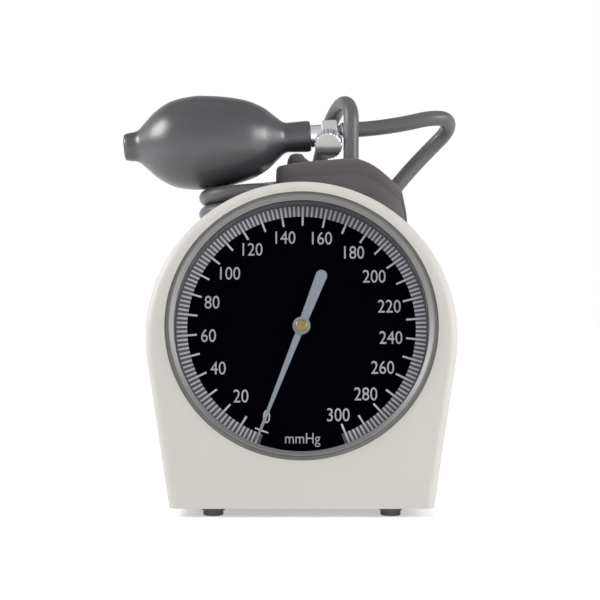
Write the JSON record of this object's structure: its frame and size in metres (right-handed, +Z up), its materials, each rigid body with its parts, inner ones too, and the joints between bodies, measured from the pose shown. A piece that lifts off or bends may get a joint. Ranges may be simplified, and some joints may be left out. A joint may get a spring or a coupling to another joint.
{
  "type": "desk sphygmomanometer",
  "caption": "Desk blood-pressure gauge with a large leaning dial in a moulded arch case, a rear storage basket with a rolled cuff, coiled hose, inflation bulb and release valve.",
  "frame": {"origin": "on the table under the dial's axis, midway between the front and rear feet", "axes": "+Z up, -Y out of the front of the case, +X to the right as one reads the dial"},
  "size_m": [0.2081, 0.1405, 0.2478],
  "materials": {
    "housing_plastic": "satin",
    "basket_plastic": "satin",
    "bezel_plastic": "satin",
    "ring_plastic": "satin",
    "lens_acrylic": "clear",
    "dial_paint": "matt",
    "pointer_paint": "satin",
    "gauge_plate": "satin",
    "movement_brass": "satin",
    "steel": "satin",
    "spring_bronze": "satin",
    "capsule_bronze": "satin",
    "valve_chrome": "polished",
    "bulb_rubber": "satin",
    "hose_rubber": "satin",
    "foot_rubber": "matt",
    "cuff_fabric": "woven",
    "hook_fabric": "hooked",
    "bladder_rubber": "matt",
    "port_plastic": "satin"
  },
  "bodies": {
    "case": {"back_plate_screws": "steel", "base_plate": "basket_plastic", "base_screws": "steel", "basket_screws": "steel", "bezel_ring": "bezel_plastic", "bladder": "bladder_rubber", "bulb": "bulb_rubber", "bulb_hose": "hose_rubber", "cover_screws": "steel", "cuff": "cuff_fabric", "cuff_hook_strip": "hook_fabric", "cuff_port_rear": "port_plastic", "cuff_port_top": "port_plastic", "dial_plate": "dial_paint", "dial_ring": "ring_plastic", "foot_front_left": "foot_rubber", "foot_front_right": "foot_rubber", "foot_rear_left": "foot_rubber", "foot_rear_right": "foot_rubber", "front_housing": "housing_plastic", "gauge_back_plate": "gauge_plate", "gauge_hose_coil": "hose_rubber", "gauge_hose_loop": "hose_rubber", "hairspring": "spring_bronze", "hose_barb": "valve_chrome", "intake_valve": "valve_chrome", "lens": "lens_acrylic", "lens_gasket": "foot_rubber", "movement_back_plate": "movement_brass", "movement_front_plate": "movement_brass", "movement_pillars": "steel", "movement_screws": "steel", "outlet_barb": "valve_chrome", "pressure_capsule": "capsule_bronze", "rear_cover": "housing_plastic", "socket_block": "movement_brass", "spring_stud": "steel", "storage_basket": "basket_plastic", "valve_body": "valve_chrome"},
    "pointer": {"pinion_arbor": "steel", "pointer": "pointer_paint", "hub_cap": "movement_brass"},
    "sector": {"sector_gear": "movement_brass", "sector_arbor": "steel"},
    "rocker": {"rocking_shaft": "steel"},
    "capsule_tip": {"capsule_tip": "movement_brass"},
    "valve_needle": {"valve_needle": "steel"},
    "release_knob": {"release_knob": "valve_chrome"},
    "intake_ball": {"intake_ball": "steel"},
    "check_ball": {"check_ball": "steel"}
  },
  "joints": [
    {"name": "pointer_turn", "type": "hinge", "parent": "case", "child": "pointer", "pos_m": [0, -0.04707, 0.1079], "axis": [0, 0.9781, -0.2079], "range_deg": [0, 317.2], "stiffness_Nm_per_rad": 0.002, "springref_deg": -20.05},
    {"name": "sector_turn", "type": "hinge", "parent": "case", "child": "sector", "pos_m": [0, -0.05156, 0.08677], "axis": [0, -0.9781, 0.2079], "range_deg": [0, 39.7]},
    {"name": "rocker_turn", "type": "hinge", "parent": "case", "child": "rocker", "pos_m": [-0.0014, -0.01864, 0.07569], "axis": [0, 0.2079, 0.9781], "range_deg": [0, 15.65]},
    {"name": "capsule_slide", "type": "slide", "parent": "case", "child": "capsule_tip", "axis": [0, -0.9781, 0.2079], "range_m": [0, 0.00343]},
    {"name": "needle_slide", "type": "slide", "parent": "case", "child": "valve_needle", "axis": [-0.0503, -0.8851, -0.4627], "range_m": [0, 0.00106]},
    {"name": "release_knob_turn", "type": "hinge", "parent": "valve_needle", "child": "release_knob", "pos_m": [0.01732, 0.036, 0.22355], "axis": [-0.0503, -0.8851, -0.4627], "range_deg": [0, 540]},
    {"name": "intake_ball_slide", "type": "slide", "parent": "case", "child": "intake_ball", "axis": [0.9982, 0, 0.0602], "range_m": [0, 0.0006]},
    {"name": "check_ball_slide", "type": "slide", "parent": "case", "child": "check_ball", "axis": [0.9982, 0, 0.0602], "range_m": [0, 0.0015]}
  ],
  "couplings": [
    {"joint": "sector_turn", "follows": "pointer_turn", "ratio": 0.125},
    {"joint": "rocker_turn", "follows": "pointer_turn", "ratio": 0.04916},
    {"joint": "capsule_slide", "follows": "pointer_turn", "m_per_rad": 0.0006174},
    {"joint": "needle_slide", "follows": "release_knob_turn", "m_per_rad": 0.0001114}
  ]
}
